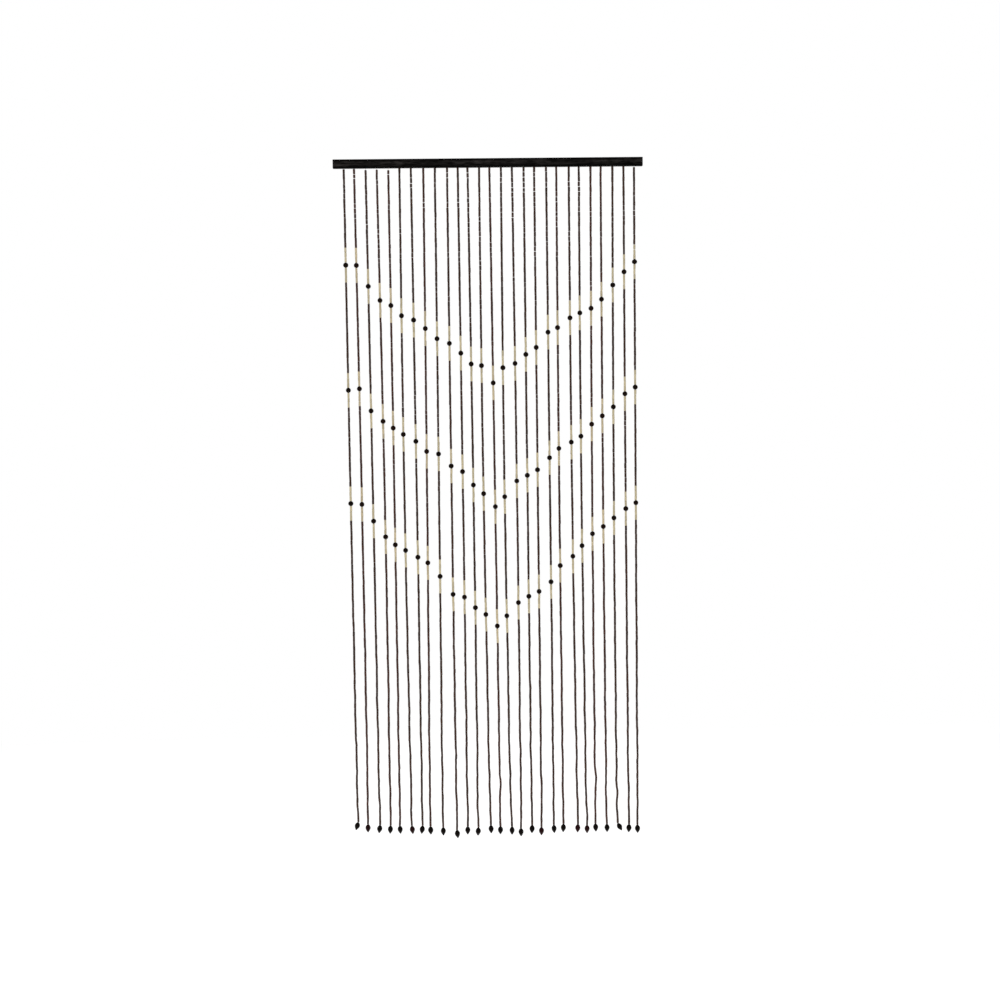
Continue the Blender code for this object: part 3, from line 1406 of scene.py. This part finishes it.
@dataclass
class Studio:
    """White paper, soft light and the camera at the photograph's angle."""

    floor_height: float = -2.3
    floor_size: float = 5.0
    surround: float = 0.34
    lens: float = 46.8
    sensor: float = 36.0
    camera_place: Place = (-0.089, -3.828, -0.764)
    yaw: float = 1.638
    pitch: float = -3.438
    roll: float = -0.82
    softboxes: tuple[Softbox, ...] = (
        Softbox("key", (-2.6, -2.9, 0.7), (0.0, 0.0, -1.0), 2.2, 30.0),
        Softbox("fill", (2.8, -2.6, -0.3), (0.0, 0.0, -1.0), 2.4, 14.0),
        Softbox("top", (0.0, -0.6, 2.2), (0.0, 0.0, -1.0), 2.6, 22.0),
        Softbox("back", (0.6, 3.0, 0.2), (0.0, 0.0, -1.0), 2.4, 18.0),
    )

    def build(self) -> None:
        """Set up the paper, the lights, the surround and the camera."""
        bpy.context.scene.view_settings.view_transform = "Standard"
        self.lay_floor()
        for softbox in self.softboxes:
            softbox.build()
        self.paint_surround()
        self.place_camera()

    def lay_floor(self) -> None:
        """A sheet of white paper under the curtain."""
        sheet = bmesh.new()
        place = Matrix.Translation((0.0, 0.0, self.floor_height))
        half = self.floor_size / 2
        bmesh.ops.create_grid(sheet, x_segments=1, y_segments=1, size=half, matrix=place)
        mesh = plain_mesh("studio_floor", sheet)
        mesh.materials.append(FloorFinish().make())
        show("studio_floor", mesh)

    def paint_surround(self) -> None:
        """Light from all round, and a plain white ground behind the curtain."""
        world = bpy.data.worlds.new("White surround")
        bpy.context.scene.world = world
        world.use_nodes = True
        world.node_tree.nodes.clear()
        graph = NodeGraph(world.node_tree)
        white = opaque((1.0, 1.0, 1.0))
        ambient = graph.first("ShaderNodeBackground", {"Color": white, "Strength": self.surround})
        ground = graph.first("ShaderNodeBackground", {"Color": white})
        seen = graph.add("ShaderNodeLightPath").outputs["Is Camera Ray"]
        surround = graph.first("ShaderNodeMixShader", {0: seen, 1: ambient, 2: ground})
        graph.add("ShaderNodeOutputWorld", {"Surface": surround})

    def place_camera(self) -> None:
        """Stand the camera where the photograph was taken from."""
        data = bpy.data.cameras.new("photo_camera")
        data.lens = self.lens
        data.sensor_width = self.sensor
        camera = bpy.data.objects.new("photo_camera", data)
        bpy.context.scene.collection.objects.link(camera)
        turn = Matrix.Rotation(math.radians(-self.yaw), 4, "Z")
        nod = Matrix.Rotation(math.radians(90.0 + self.pitch), 4, "X")
        lean = Matrix.Rotation(math.radians(self.roll), 4, "Z")
        camera.matrix_world = Matrix.Translation(self.camera_place) @ turn @ nod @ lean
        bpy.context.scene.camera = camera


DARK_TUBES = BeadFinish(
    name="Dark stained tube beads",
    ground=(0.036, 0.0175, 0.0108),
    streak=(0.071, 0.0380, 0.0235),
    warm=(0.082, 0.0270, 0.0205),
    cut_end=(0.130, 0.080, 0.042),
    half_length=TubeBeads.length / 2,
    gloss=0.2,
)
PALE_TUBES = BeadFinish(
    name="Natural tube beads",
    ground=(0.665, 0.570, 0.345),
    streak=(0.790, 0.695, 0.475),
    warm=(0.740, 0.570, 0.365),
    cut_end=(0.560, 0.450, 0.260),
    half_length=TubeBeads.length / 2,
    gloss=0.35,
    tone=(0.84, 1.12),
    warm_share=0.4,
    end_wear=0.3,
)
DARK_BALLS = BeadFinish(
    name="Dark round beads",
    ground=(0.0040, 0.0016, 0.0006),
    streak=(0.0085, 0.0033, 0.0012),
    warm=(0.0140, 0.0035, 0.0016),
    cut_end=(0.040, 0.024, 0.014),
    half_length=RoundBeads.radius - 0.0002,
    gloss=0.06,
    roughness=(0.27, 0.38),
    end_wear=0.3,
    across=420.0,
    along=110.0,
)
DARK_DROPS = replace(
    DARK_BALLS,
    name="Dark drop beads",
    ground=(0.0022, 0.0012, 0.0009),
    streak=(0.0052, 0.0026, 0.0018),
    warm=(0.0270, 0.0040, 0.0050),
    half_length=DropBeads.length / 2 - 0.0003,
    along=90.0,
)
BLACK_PAINT = PaintFinish(
    name="Black satin paint",
    ground=(0.0009, 0.0008, 0.0007),
    # The colour of the painted sheen on the batten's faces.
    bloom=(0.0570, 0.0510, 0.0480),
    edge=(0.016, 0.012, 0.009),
    half_height=-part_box("rail")[0].z / 2,
    half_thickness=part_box("rail")[1].y,
)
NYLON = ThreadFinish(name="Nylon thread", ground=(0.78, 0.76, 0.71), shade=(0.60, 0.57, 0.51))


def main() -> None:
    """Build every piece around the frame, then the studio."""
    logging.basicConfig(level=logging.INFO, format="%(name)s %(message)s")
    strings = StringReader().read()
    LOG.info("%d strings, %d balls", len(strings), sum(len(line.balls) for line in strings))
    stringing = Stringing()
    paint = BLACK_PAINT.make()
    rail = Rail()
    rail.build(paint)
    ThreadStrip(strings).build(rail, paint)
    woods = {Wood.DARK: DARK_TUBES.make(), Wood.PALE: PALE_TUBES.make()}
    TubeBeads(strings, stringing).build(woods)
    RoundBeads(strings, stringing).build(DARK_BALLS.make())
    axes = DropBeads(stringing).build(DARK_DROPS.make())
    Threads(strings).build(axes, NYLON.make())
    Studio().build()


if __name__ == "__main__":
    main()
